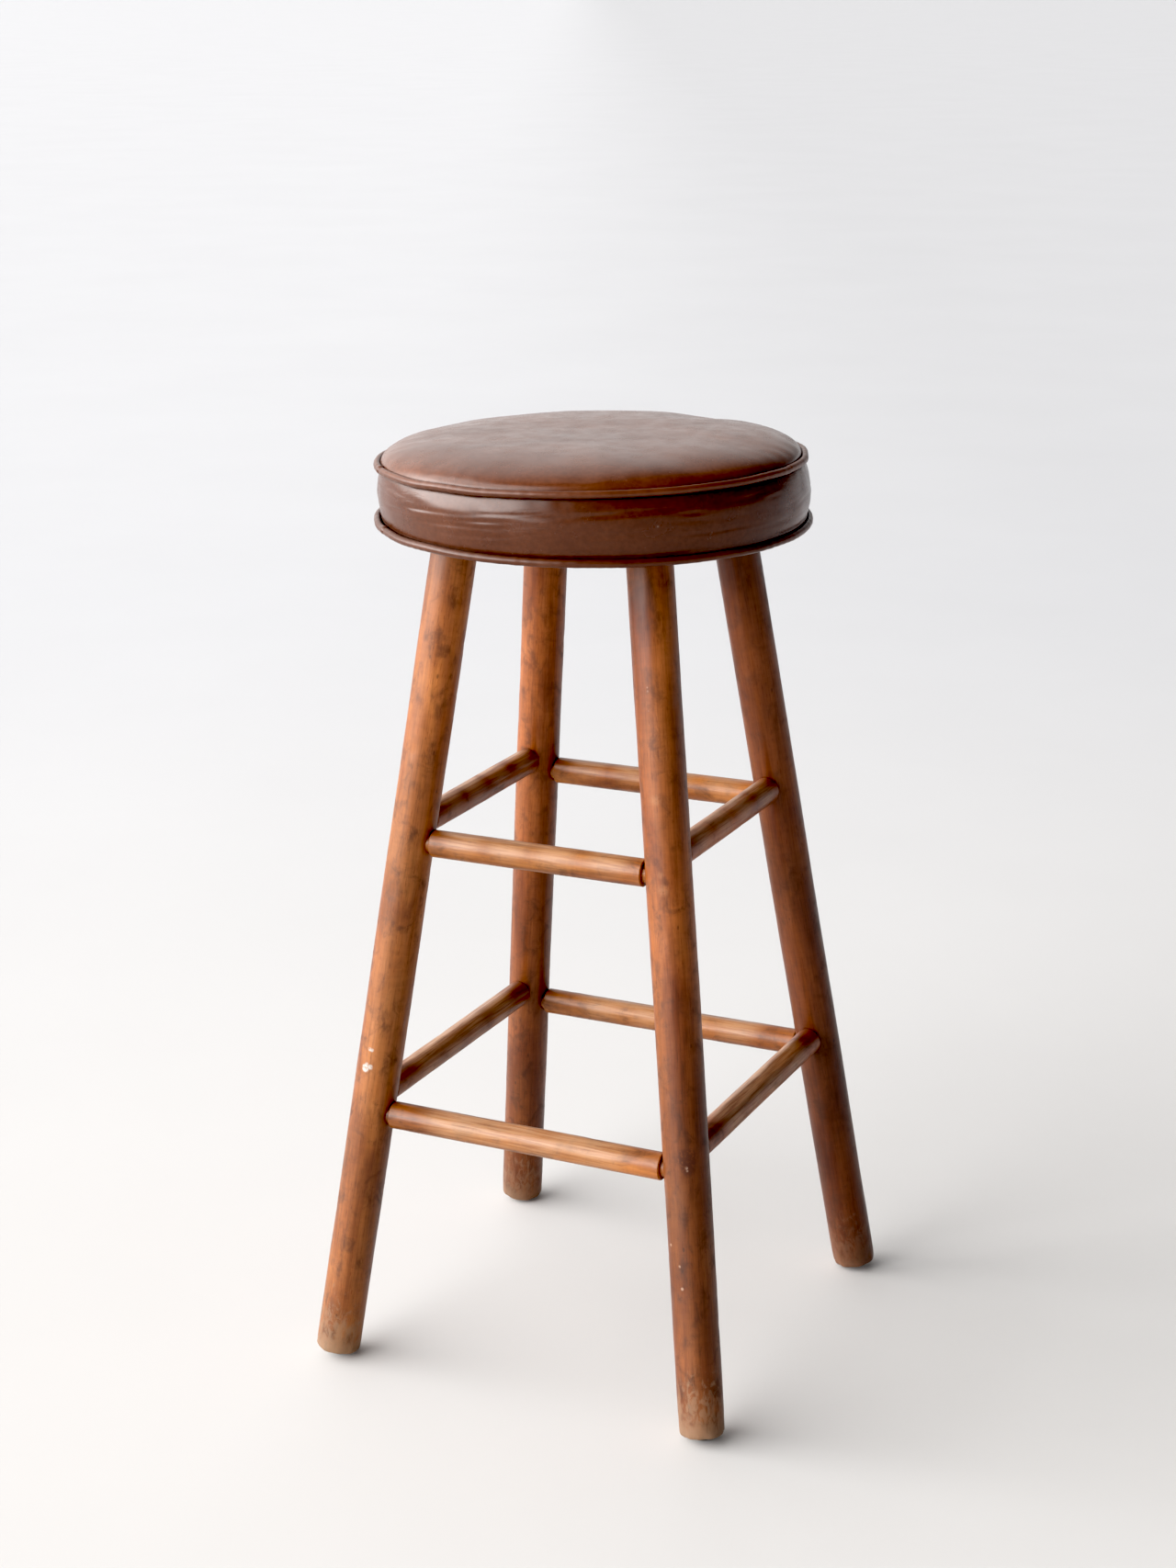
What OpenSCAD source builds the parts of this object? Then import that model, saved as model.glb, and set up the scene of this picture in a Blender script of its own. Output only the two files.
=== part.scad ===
// Round-seated bar stool: four splayed round legs, eight round stretchers, and a box
// cushion with two welts upholstered onto a round seat board.
// Frame: origin on the floor under the middle of the seat, +Z up, front towards -Y.
// All sizes are in millimetres and all angles in degrees.

/* [Overall] */
// Height of the cushion's crown above the floor
seat_height = 768; // [700:1:800]
// Spacing of the leg axes along X and along Y, where they meet the floor
floor_spacing = 338; // [320:1:360]
// The same spacing where they meet the underside of the seat board
seat_spacing = 164; // [150:1:176]

/* [Legs] */
// Diameter of a leg
leg_d = 37; // [35:0.5:40]
// Diameter of the tenon on top of a leg
leg_tenon_d = 25.4; // [22:0.2:27]
// Depth of the blind socket in the seat board, along the leg
leg_socket_depth = 19; // [15:0.5:20]
// Size of the broken edge round a foot
foot_chamfer = 1.2; // [0.5:0.1:2]

/* [Stretchers] */
// Diameter of a stretcher
stretcher_d = 22.5; // [20:0.5:24]
// Diameter of the tenons at its ends
stretcher_tenon_d = 15.8; // [14:0.1:16]
// Depth that a tenon goes below the leg's surface
stretcher_tenon_depth = 12.5; // [10:0.1:12.5]
// Height of the upper front and back stretchers
upper_stretcher_z = 447; // [420:1:480]
// Height of the lower front and back stretchers
lower_stretcher_z = 216; // [180:1:250]
// How much higher the left and right stretchers sit than the front and back ones
side_stretcher_rise = 12; // [12:0.5:30]

/* [Seat board] */
// Radius of the seat board
board_r = 167.6; // [160:0.1:175]
// Thickness of the seat board
board_t = 25; // [24:1:28]

/* [Cushion] */
// Rise of the crown above the upper welt
crown = 20; // [12:1:28]
// Height between the middles of the two welts
band_height = 47; // [44:0.5:65]
// How far the side band swells out half way up
band_bulge = 3.5; // [0:0.5:4]
// Outer diameter of a welt
welt_d = 6.2; // [6:0.1:6.6]
// Thickness of the vinyl
vinyl_t = 1.1; // [1:0.05:1.15]
// Width of the hem that is turned under the seat board
hem_width = 22; // [18:1:24]

/* [Fastenings] */
// Number of staples round the hem
staple_count = 24; // [12:1:36]
// Diameter of a floor glide
glide_d = 22; // [18:1:24]
// Height of a floor glide below the end of its leg
glide_height = 5.5; // [4:0.5:6]
// Diameter of the glide's nail
glide_nail_d = 3; // [2:0.5:4]
// Length of the glide's nail
glide_nail_length = 18; // [12:1:24]

/* [Hidden] */
$fn = 64;

fit_gap = 0.1;        // room left between parts that are glued, stapled or laid together
end_room = 0.5;       // room left past the end of a tenon or nail in its socket
cut = 1;              // how far a cutting shape runs past the surface it cuts

// Cushion heights, from the crown down
top_welt_z = seat_height - crown;
bottom_welt_z = top_welt_z - band_height;
welt_r = welt_d / 2;
welt_cord_r = welt_r - vinyl_t - fit_gap;
flange_z = bottom_welt_z - welt_r;                 // underside of the lower welt's flange
hem_z = flange_z + vinyl_t + fit_gap;              // underside of the hem
board_z = hem_z + vinyl_t + fit_gap;               // underside of the seat board
foam_z = board_z + board_t + fit_gap;
foam_inset = 1;                                    // foam disc's edge, in from the board's
foam_straight = 9;                                 // the foam stands straight up to here
wadding_lap = 1;                                   // how far the wadding starts below the upper welt
foam_top_z = top_welt_z - wadding_lap;

// Cushion radii
band_room = 0.3;                                   // room between the board's edge and the band
band_inner_r = board_r + band_room;
band_outer_r = band_inner_r + vinyl_t;
bottom_welt_r = band_outer_r + fit_gap + welt_r;
hem_inner_r = board_r - hem_width;
flange_set_back = 2;                               // lower flange's edge, out from the hem's
straight_share = 0.8;                              // share of the welt that the band stands straight beside
band_start_z = bottom_welt_z + straight_share * welt_r;
band_end_z = top_welt_z - welt_r - fit_gap;
welt_overhang = 0.7;                               // upper welt's middle, out from the foot of the band
welt_bite = 0.6;                                   // top of the band, in from the upper welt's middle
top_welt_r = band_outer_r + welt_overhang;
band_top_r = top_welt_r - welt_bite;
flange_outer_r = band_top_r - vinyl_t - fit_gap;
upper_flange_t = vinyl_t - 2 * fit_gap;            // pressed a little thinner by the seam
panel_r = top_welt_r - welt_r - fit_gap;
padding_r = panel_r - vinyl_t - 2 * fit_gap;       // foam and wadding inside the top panel
seam_depth = 12;                                   // seam allowance turned down inside the band

// Legs
lean = (floor_spacing - seat_spacing) / 2 / board_z;   // inward run per millimetre of rise, along X or Y
splay = atan(lean * sqrt(2));                          // angle between a leg and the vertical
leg_r = leg_d / 2;
glide_r = glide_d / 2;
glide_ball_r = (glide_r * glide_r + glide_height * glide_height) / (2 * glide_height);
glide_wear = 0.35;                                     // worn off the ball where it meets the floor
glide_ball_z = glide_ball_r - glide_wear;              // height of the ball's centre
foot_s = (glide_ball_z - (glide_ball_r - glide_height) * cos(splay)) / cos(splay);
shoulder_s = (board_z - fit_gap - leg_r * sin(splay)) / cos(splay);
socket_end_s = board_z / cos(splay) + leg_socket_depth;
tenon_edge = 1;                                        // size of the broken edge on a leg's tenon
nail_point = 1;                                        // length of the point of a glide's nail
nail_tip_d = 0.6;

// Stretchers
stretcher_r = stretcher_d / 2;
shoulder_back = leg_r / cos(atan(lean)) + lean * stretcher_r + fit_gap;
tenon_back = leg_r - stretcher_tenon_depth;
stretcher_edge = 0.8;                                  // size of the broken edges on a stretcher

// Staples
staple_crown = 10;
staple_wire = [1.2, 0.6];                              // width and thickness of the flat wire
staple_leg = 11;
staple_inset = 1;                                      // staples, in from the middle of the hem
staple_r = (hem_inner_r + board_r) / 2 - staple_inset;
staple_z = flange_z - fit_gap - staple_wire[1];

wood_brown = [0.55, 0.32, 0.16];
worn_wood = [0.66, 0.43, 0.25];
board_tan = [0.78, 0.65, 0.46];
foam_cream = [0.93, 0.88, 0.70];
wadding_white = [0.90, 0.88, 0.84];
vinyl_brown = [0.40, 0.25, 0.18];
cord_white = [0.85, 0.82, 0.74];
staple_steel = [0.70, 0.70, 0.72];
glide_steel = [0.32, 0.31, 0.30];

// Distance of a leg's axis from the middle plane at height z
function half_spacing(z) = floor_spacing / 2 - lean * z;

// Height of the crown above the upper welt at a fraction u of its radius
function crown_rise(rise, u) = rise * sqrt(max(0, 1 - pow(u, 6)));

// Outline of a crown from its rim to the middle, closer together near the rim
function crown_points(r, z, rise, steps = 14) =
    [for (i = [0 : steps]) let (u = cos(90 * i / steps)) [r * u, z + crown_rise(rise, u)]];

// Radius of the side band's outside at a fraction t of the way up
function band_radius(t) = band_outer_r + (band_top_r - band_outer_r) * t + band_bulge * sin(180 * t);

// Outline of the side band on one face; inset moves it towards the middle
function band_points(inset, steps = 12) =
    [for (i = [0 : steps]) let (t = i / steps)
        [band_radius(t) - inset, band_start_z + (band_end_z - band_start_z) * t]];

// Places its children on a leg: origin where the leg's axis meets the floor, +Z up the axis
module on_leg(side, depth) {
    translate([side * floor_spacing / 2, depth * floor_spacing / 2, 0])
        rotate([0, splay, atan2(-depth, -side)])
            children();
}

// Places its children at a stretcher's middle, with +Z along the stretcher
module on_stretcher(side, depth, z) {
    translate([side * half_spacing(z), depth * half_spacing(z), z])
        rotate(side == 0 ? [0, 90, 0] : [-90, 0, 0])
            children();
}

// Both stretchers of one tier that meet the leg at this corner, as socket cutters
module stretcher_sockets(side, depth, z) {
    socket_r = stretcher_tenon_d / 2 + fit_gap / 2;
    socket_back = tenon_back - end_room;
    front_z = z;
    side_z = z + side_stretcher_rise;
    translate([side * half_spacing(front_z), depth * half_spacing(front_z), front_z])
        rotate([0, -90 * side, 0])
            translate([0, 0, socket_back])
                cylinder(r = socket_r, h = leg_d);
    translate([side * half_spacing(side_z), depth * half_spacing(side_z), side_z])
        rotate([90 * depth, 0, 0])
            translate([0, 0, socket_back])
                cylinder(r = socket_r, h = leg_d);
}

// One leg: side is -1 left or 1 right, depth is -1 front or 1 back
module leg(side, depth) {
    tenon_end_s = socket_end_s - end_room;
    tenon_r = leg_tenon_d / 2;
    color(wood_brown)
        difference() {
            on_leg(side, depth)
                rotate_extrude()
                    polygon([
                        [0, foot_s], [leg_r - foot_chamfer, foot_s], [leg_r, foot_s + foot_chamfer],
                        [leg_r, shoulder_s], [tenon_r, shoulder_s],
                        [tenon_r, tenon_end_s - tenon_edge],
                        [tenon_r - tenon_edge, tenon_end_s], [0, tenon_end_s]
                    ]);
            stretcher_sockets(side, depth, upper_stretcher_z);
            stretcher_sockets(side, depth, lower_stretcher_z);
            on_leg(side, depth)
                translate([0, 0, foot_s - cut])
                    cylinder(d = glide_nail_d + fit_gap, h = cut + glide_nail_length + end_room);
        }
}

// One stretcher: side or depth names the face of the stool that it runs along
module stretcher(side, depth, z, finish) {
    body_half = half_spacing(z) - shoulder_back;
    tenon_half = half_spacing(z) - tenon_back;
    edge = stretcher_edge;
    tenon_r = stretcher_tenon_d / 2;
    color(finish)
        on_stretcher(side, depth, z)
            rotate_extrude()
                polygon([
                    [0, -tenon_half], [tenon_r - edge, -tenon_half], [tenon_r, -tenon_half + edge],
                    [tenon_r, -body_half], [stretcher_r - edge, -body_half],
                    [stretcher_r, -body_half + edge], [stretcher_r, body_half - edge],
                    [stretcher_r - edge, body_half], [tenon_r, body_half],
                    [tenon_r, tenon_half - edge], [tenon_r - edge, tenon_half], [0, tenon_half]
                ]);
}

// A ring of staple shapes; room widens each one, for cutting its slots
module staples(room) {
    width = staple_wire[0] + 2 * room;
    thick = staple_wire[1] + 2 * room;
    for (i = [0 : staple_count - 1])
        rotate([0, 0, (i + 0.5) * 360 / staple_count])
            translate([staple_r, 0, staple_z]) {
                translate([0, 0, staple_wire[1] / 2])
                    cube([width, staple_crown + 2 * room, thick], center = true);
                for (end = [-1, 1])
                    translate([0, end * (staple_crown - staple_wire[1]) / 2, staple_leg / 2 + room])
                        cube([width, thick, staple_leg + 2 * room], center = true);
            }
}

// A welt's tube of vinyl with its flange, as a ring
module welt_ring(ring_r, z, flange_from, flange_to) {
    difference() {
        union() {
            rotate_extrude($fn = 96)
                translate([ring_r, z])
                    circle(r = welt_r, $fn = 24);
            rotate_extrude($fn = 96)
                polygon([
                    [flange_from[0], flange_from[1]], [flange_to[0], flange_from[1]],
                    [flange_to[0], flange_to[1]], [flange_from[0], flange_to[1]]
                ]);
        }
        rotate_extrude($fn = 96)
            translate([ring_r, z])
                circle(r = welt_r - vinyl_t, $fn = 24);
    }
}

// The cord inside a welt
module welt_cord(ring_r, z) {
    color(cord_white)
        rotate_extrude($fn = 96)
            translate([ring_r, z])
                circle(r = welt_cord_r, $fn = 24);
}

// A nail-on floor glide: a domed cap with a small worn flat on the floor
module glide(side, depth) {
    above_floor = 2 * (glide_height + glide_nail_length);
    color(glide_steel)
        intersection() {
            on_leg(side, depth)
                union() {
                    intersection() {
                        translate([0, 0, glide_ball_z / cos(splay)])
                            sphere(r = glide_ball_r);
                        translate([0, 0, foot_s - fit_gap - 2 * glide_height])
                            cylinder(r = glide_ball_r, h = 2 * glide_height);
                    }
                    translate([0, 0, foot_s - glide_height / 2])
                        cylinder(d = glide_nail_d, h = glide_height / 2 + glide_nail_length - nail_point);
                    translate([0, 0, foot_s + glide_nail_length - nail_point])
                        cylinder(d1 = glide_nail_d, d2 = nail_tip_d, h = nail_point);
                }
            translate([side * floor_spacing / 2, depth * floor_spacing / 2, above_floor / 2])
                cube(above_floor, center = true);
        }
}

module leg_front_left() { leg(-1, -1); }
module leg_front_right() { leg(1, -1); }
module leg_back_left() { leg(-1, 1); }
module leg_back_right() { leg(1, 1); }

module upper_front_stretcher() { stretcher(0, -1, upper_stretcher_z, worn_wood); }
module upper_back_stretcher() { stretcher(0, 1, upper_stretcher_z, worn_wood); }
module upper_left_stretcher() { stretcher(-1, 0, upper_stretcher_z + side_stretcher_rise, wood_brown); }
module upper_right_stretcher() { stretcher(1, 0, upper_stretcher_z + side_stretcher_rise, wood_brown); }
module lower_front_stretcher() { stretcher(0, -1, lower_stretcher_z, worn_wood); }
module lower_back_stretcher() { stretcher(0, 1, lower_stretcher_z, worn_wood); }
module lower_left_stretcher() { stretcher(-1, 0, lower_stretcher_z + side_stretcher_rise, wood_brown); }
module lower_right_stretcher() { stretcher(1, 0, lower_stretcher_z + side_stretcher_rise, wood_brown); }

// Plywood disc with four angled blind sockets for the legs' tenons
module seat_board() {
    socket_r = leg_tenon_d / 2 + fit_gap / 2;
    color(board_tan)
        difference() {
            translate([0, 0, board_z])
                cylinder(r = board_r, h = board_t, $fn = 96);
            for (side = [-1, 1], depth = [-1, 1])
                on_leg(side, depth)
                    translate([0, 0, socket_end_s - 2 * leg_socket_depth])
                        cylinder(r = socket_r, h = 2 * leg_socket_depth);
            staples(fit_gap);
        }
}

// Foam disc, drawn in at the top where the seam allowances hang
module foam_pad() {
    lower_r = board_r - foam_inset;
    color(foam_cream)
        rotate_extrude($fn = 96)
            polygon([
                [0, foam_z], [lower_r, foam_z], [lower_r, foam_z + foam_straight],
                [padding_r, foam_top_z - seam_depth], [padding_r, foam_top_z], [0, foam_top_z]
            ]);
}

// Felted wadding that gives the seat its crown
module crown_wadding() {
    color(wadding_white)
        rotate_extrude($fn = 96)
            polygon(concat(
                [[0, foam_top_z + fit_gap], [padding_r, foam_top_z + fit_gap]],
                crown_points(padding_r, top_welt_z, crown - vinyl_t - 2 * fit_gap)
            ));
}

// Vinyl top with its seam allowance turned down inside the upper welt
module top_panel() {
    outer = crown_points(panel_r, top_welt_z, crown);
    inner = crown_points(panel_r - vinyl_t, top_welt_z, crown - vinyl_t);
    last = len(inner) - 1;
    color(vinyl_brown)
        rotate_extrude($fn = 96)
            polygon(concat(
                [[panel_r, top_welt_z - seam_depth]],
                outer,
                [for (i = [last : -1 : 0]) inner[i]],
                [[panel_r - vinyl_t, top_welt_z - seam_depth]]
            ));
}

// Vinyl band round the side, with the hem that is turned under the board
module side_band() {
    outer = band_points(0);
    inner = band_points(vinyl_t);
    last = len(inner) - 1;
    color(vinyl_brown)
        difference() {
            rotate_extrude($fn = 96)
                polygon(concat(
                    [[hem_inner_r, hem_z], [band_outer_r, hem_z]],
                    outer,
                    [for (i = [last : -1 : 0]) inner[i]],
                    [[band_inner_r, hem_z + vinyl_t], [hem_inner_r, hem_z + vinyl_t]]
                ));
            staples(fit_gap);
        }
}

module top_welt_cover() {
    color(vinyl_brown)
        welt_ring(
            top_welt_r, top_welt_z,
            [flange_outer_r - upper_flange_t, top_welt_z - seam_depth],
            [flange_outer_r, top_welt_z]
        );
}

module bottom_welt_cover() {
    color(vinyl_brown)
        difference() {
            welt_ring(
                bottom_welt_r, bottom_welt_z,
                [hem_inner_r + flange_set_back, flange_z],
                [bottom_welt_r, flange_z + vinyl_t]
            );
            staples(fit_gap);
        }
}

module top_welt_cord() { welt_cord(top_welt_r, top_welt_z); }
module bottom_welt_cord() { welt_cord(bottom_welt_r, bottom_welt_z); }

module hem_staples() { color(staple_steel) staples(0); }

module glide_front_left() { glide(-1, -1); }
module glide_front_right() { glide(1, -1); }
module glide_back_left() { glide(-1, 1); }
module glide_back_right() { glide(1, 1); }

leg_front_left();
leg_front_right();
leg_back_left();
leg_back_right();
upper_front_stretcher();
upper_back_stretcher();
upper_left_stretcher();
upper_right_stretcher();
lower_front_stretcher();
lower_back_stretcher();
lower_left_stretcher();
lower_right_stretcher();
seat_board();
foam_pad();
crown_wadding();
top_panel();
side_band();
top_welt_cover();
top_welt_cord();
bottom_welt_cover();
bottom_welt_cord();
hem_staples();
glide_front_left();
glide_front_right();
glide_back_left();
glide_back_right();
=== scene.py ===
"""Looks of a round-seated bar stool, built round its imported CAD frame.

Everything is in metres in the CAD's frame: origin on the floor under the middle of the
seat, +Z up, front towards -Y. Sizes repeat those of the CAD source.
"""

import math

import bpy
import numpy as np
from mathutils import Matrix, Vector


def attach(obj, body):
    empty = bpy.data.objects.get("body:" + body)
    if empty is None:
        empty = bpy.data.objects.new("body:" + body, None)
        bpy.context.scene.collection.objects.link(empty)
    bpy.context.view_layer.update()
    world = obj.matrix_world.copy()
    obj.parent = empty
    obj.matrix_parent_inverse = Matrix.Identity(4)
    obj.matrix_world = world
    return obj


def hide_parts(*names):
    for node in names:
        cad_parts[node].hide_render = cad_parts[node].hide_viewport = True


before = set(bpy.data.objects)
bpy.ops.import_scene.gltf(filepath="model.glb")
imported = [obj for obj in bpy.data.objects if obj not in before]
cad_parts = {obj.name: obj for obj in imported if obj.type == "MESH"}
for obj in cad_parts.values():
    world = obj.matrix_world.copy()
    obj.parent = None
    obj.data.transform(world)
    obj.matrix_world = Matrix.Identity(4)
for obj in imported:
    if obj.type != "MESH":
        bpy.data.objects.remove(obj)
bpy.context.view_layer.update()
scene = bpy.context.scene
MM = 0.001

# Sizes of the CAD model, in millimetres
SEAT_HEIGHT, CROWN, BAND_HEIGHT = 768.0, 20.0, 47.0
FLOOR_SPACING, SEAT_SPACING = 338.0, 164.0
LEG_R, LEG_TENON_R, LEG_SOCKET_DEPTH, TENON_EDGE = 18.5, 12.7, 19.0, 1.0
STRETCHER_R, STRETCHER_TENON_R, TENON_DEPTH, STRETCHER_EDGE = 11.25, 7.9, 12.5, 0.8
UPPER_Z, LOWER_Z, SIDE_RISE = 447.0, 216.0, 12.0
BOARD_R, BOARD_T, BAND_ROOM = 167.6, 25.0, 0.3
WELT_R, VINYL_T, HEM_WIDTH, GAP, END_ROOM = 3.1, 1.1, 22.0, 0.1, 0.5
GLIDE_R, GLIDE_HEIGHT, GLIDE_WEAR = 11.0, 5.5, 0.35
NAIL_R, NAIL_LENGTH = 1.5, 18.0
STAPLES, STAPLE_R = 24, 155.6

# Heights and radii that follow from them
TOP_WELT_Z = SEAT_HEIGHT - CROWN
LOW_WELT_Z = TOP_WELT_Z - BAND_HEIGHT
FLANGE_Z = LOW_WELT_Z - WELT_R
HEM_Z = FLANGE_Z + VINYL_T + GAP
BOARD_Z = HEM_Z + VINYL_T + GAP
FOAM_Z = BOARD_Z + BOARD_T + GAP
BAND_R = BOARD_R + BAND_ROOM + VINYL_T
LOW_WELT_R = BAND_R + GAP + WELT_R
TOP_WELT_R = BAND_R + 0.7
PANEL_R = TOP_WELT_R - WELT_R - GAP
BAND_TOP_R = TOP_WELT_R - 0.6
HEM_R = BOARD_R - HEM_WIDTH
BAND_START_Z = LOW_WELT_Z + 0.8 * WELT_R
BAND_END_Z = TOP_WELT_Z - WELT_R - GAP
LEAN = (FLOOR_SPACING - SEAT_SPACING) / 2 / BOARD_Z
SPLAY = math.atan(LEAN * math.sqrt(2))
BALL_R = (GLIDE_R**2 + GLIDE_HEIGHT**2) / (2 * GLIDE_HEIGHT)
BALL_Z = BALL_R - GLIDE_WEAR
FOOT_S = BALL_Z / math.cos(SPLAY) - (BALL_R - GLIDE_HEIGHT)
SHOULDER_S = (BOARD_Z - GAP - LEG_R * math.sin(SPLAY)) / math.cos(SPLAY)
TENON_END_S = BOARD_Z / math.cos(SPLAY) + LEG_SOCKET_DEPTH - END_ROOM
SHOULDER_BACK = LEG_R / math.cos(math.atan(LEAN)) + LEAN * STRETCHER_R + GAP
TENON_BACK = LEG_R - TENON_DEPTH

# The cushion's cover has slipped a little round its foam, so that the band stands taller on
# two sides: at the photograph's right and on its near side. The leans are how far each
# welt rises at its rim on that side; the shifts move the cover sideways
TALL_SIDE, TOP_LEAN, LOW_LEAN = np.array([0.896, 0.445]), 1.6, -1.5
NEAR_SIDE, TOP_NEAR, LOW_NEAR = np.array([0.445, -0.896]), 1.9, -2.3
LOW_DROP = -0.2  # how far the lower welt moves as a whole
TOP_SHIFT = -1.4  # how far the upper welt moves towards TALL_SIDE
COVER_SHIFT = np.array([-2.3, -0.2])
BAND_LEAN = 1.4  # how much further the band bulges on TALL_SIDE
RACK = 0.020  # twist of the old frame at the seat, in radians

SHARP_ANGLE = 35  # degrees; steeper edges are shaded sharp
BOARD_ROOM = 1.0  # what the slipped cover keeps clear of the board's edge


def half_spacing(z):
    """Distance of a leg's axis from the middle plane at height z."""
    return FLOOR_SPACING / 2 - LEAN * z


# ---- mesh helpers


def smoothstep(low, high, x):
    t = np.clip((x - low) / (high - low), 0, 1)
    return t * t * (3 - 2 * t)


def wrapped(angle, centre):
    """angle measured from centre, in radians from -pi to pi."""
    return (angle - centre + math.pi) % (2 * math.pi) - math.pi


def circle(count):
    """count angles evenly round a circle."""
    return np.arange(count) * 2 * math.pi / count


def hump(x, width, y=0.0, length=1.0):
    """1 at the origin, falling off smoothly over width in x and length in y."""
    return np.exp(-((x / width) ** 2) - (y / length) ** 2)


def polar(r, angle, z):
    return np.stack([r * np.cos(angle), r * np.sin(angle), z], -1)


def smoothed(values, pairs, fixed, share, rounds):
    """values of points joined in pairs, each drawn by share towards its neighbours' mean."""
    degree = np.bincount(pairs.ravel(), minlength=len(values))[:, None]
    for _ in range(rounds):
        total = np.zeros_like(values)
        np.add.at(total, pairs[:, 0], values[pairs[:, 1]])
        np.add.at(total, pairs[:, 1], values[pairs[:, 0]])
        drawn = (1 - share) * values + share * total / degree
        values = np.where(fixed[:, None], values, drawn)
    return values


def ripple(points, wavelength, seed, waves=20):
    """Smooth noise of about -1 to 1: plane waves in random directions."""
    rng = np.random.default_rng(seed)
    k = rng.normal(size=(waves, points.shape[-1]))
    k /= np.linalg.norm(k, axis=1, keepdims=True)
    k *= (2 * math.pi / wavelength * rng.uniform(0.6, 1.5, waves))[:, None]
    phase = rng.uniform(0, 2 * math.pi, waves)
    return np.sin(points @ k.T + phase).sum(-1) / math.sqrt(waves)


def make_object(name, points, faces, matrix=None, sharp=SHARP_ANGLE):
    """A smooth-shaded mesh object from points in millimetres."""
    mesh = bpy.data.meshes.new(name)
    mesh.from_pydata((np.asarray(points) * MM).tolist(), [], faces)
    mesh.update()
    obj = bpy.data.objects.new(name, mesh)
    if matrix is not None:
        obj.matrix_world = matrix
    scene.collection.objects.link(obj)
    shade(obj, sharp)
    return obj


def shade(obj, sharp):
    obj.data.shade_smooth()
    obj.data.set_sharp_from_angle(angle=math.radians(sharp))


def bake_modifiers(obj):
    """Replaces obj's mesh with what its modifiers make of it."""
    bpy.context.view_layer.update()
    graph = bpy.context.evaluated_depsgraph_get()
    made = bpy.data.meshes.new_from_object(obj.evaluated_get(graph))
    obj.modifiers.clear()
    obj.data = made


def get_points(obj):
    co = np.empty(len(obj.data.vertices) * 3)
    obj.data.vertices.foreach_get("co", co)
    return co.reshape(-1, 3) / MM


def set_points(obj, points):
    obj.data.vertices.foreach_set("co", (points * MM).ravel())
    obj.data.update()


def ring_faces(rows, columns, wrap=False):
    """Quads between rows of points that each close on themselves."""
    faces = []
    for i in range(rows if wrap else rows - 1):
        a, b = i * columns, (i + 1) % rows * columns
        for j in range(columns):
            k = (j + 1) % columns
            faces.append((a + j, a + k, b + k, b + j))
    return faces


def rack(points, matrix):
    """Twists points of the wooden frame a little, more the higher they are."""
    world = np.array(matrix)
    turn, at = world[:3, :3], world[:3, 3] / MM
    placed = points @ turn.T + at
    twist = RACK * placed[:, 2] / BOARD_Z
    x, y = placed[:, 0].copy(), placed[:, 1].copy()
    placed[:, 0], placed[:, 1] = x - twist * y, y + twist * x
    return (placed - at) @ turn


def rod(name, outline, around, matrix, wear):
    """A rod along local Z. outline lists (distance along, radius) from one end to the other,
    and wear(angle, along, radius) gives the depth that is worn off its surface."""
    along = np.array([p[0] for p in outline])[:, None]
    radius = np.array([p[1] for p in outline])[:, None]
    angle, along = np.broadcast_arrays(circle(around)[None, :], along)
    points = polar(radius - wear(angle, along, radius), angle, along).reshape(-1, 3)
    ends = [[0, 0, outline[0][0]], [0, 0, outline[-1][0]]]
    count, last = len(points), (len(outline) - 1) * around
    faces = ring_faces(len(outline), around)
    for j in range(around):
        k = (j + 1) % around
        faces.append((count, k, j))
        faces.append((count + 1, last + j, last + k))
    return make_object(name, rack(np.vstack([points, ends]), matrix), faces, matrix)


def steps(start, end, size):
    """Evenly spaced numbers from start to end, about size apart."""
    return np.linspace(start, end, max(2, int(round(abs(end - start) / size)) + 1))


def cylinder_cutter(points, faces, start, end, radius, around=40):
    """Adds a closed cylinder from start to end to a list of points and faces."""
    axis = (end - start).normalized()
    side = axis.orthogonal().normalized()
    other = axis.cross(side)
    base = len(points)
    for centre in (start, end):
        for j in range(around):
            a = 2 * math.pi * j / around
            points.append(centre + radius * (math.cos(a) * side + math.sin(a) * other))
    for j in range(around):
        k = (j + 1) % around
        faces.append((base + j, base + k, base + around + k, base + around + j))
    faces.append(tuple(base + j for j in reversed(range(around))))
    faces.append(tuple(base + around + j for j in range(around)))


def cut(obj, points, faces):
    """Cuts closed shapes, given in the frame, out of obj."""
    cutter = make_object("cutter", [tuple(p) for p in points], faces)
    boolean = obj.modifiers.new("cut", "BOOLEAN")
    boolean.object, boolean.operation, boolean.solver = cutter, "DIFFERENCE", "EXACT"
    bake_modifiers(obj)
    bpy.data.objects.remove(cutter)


# ---- material helpers


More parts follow.
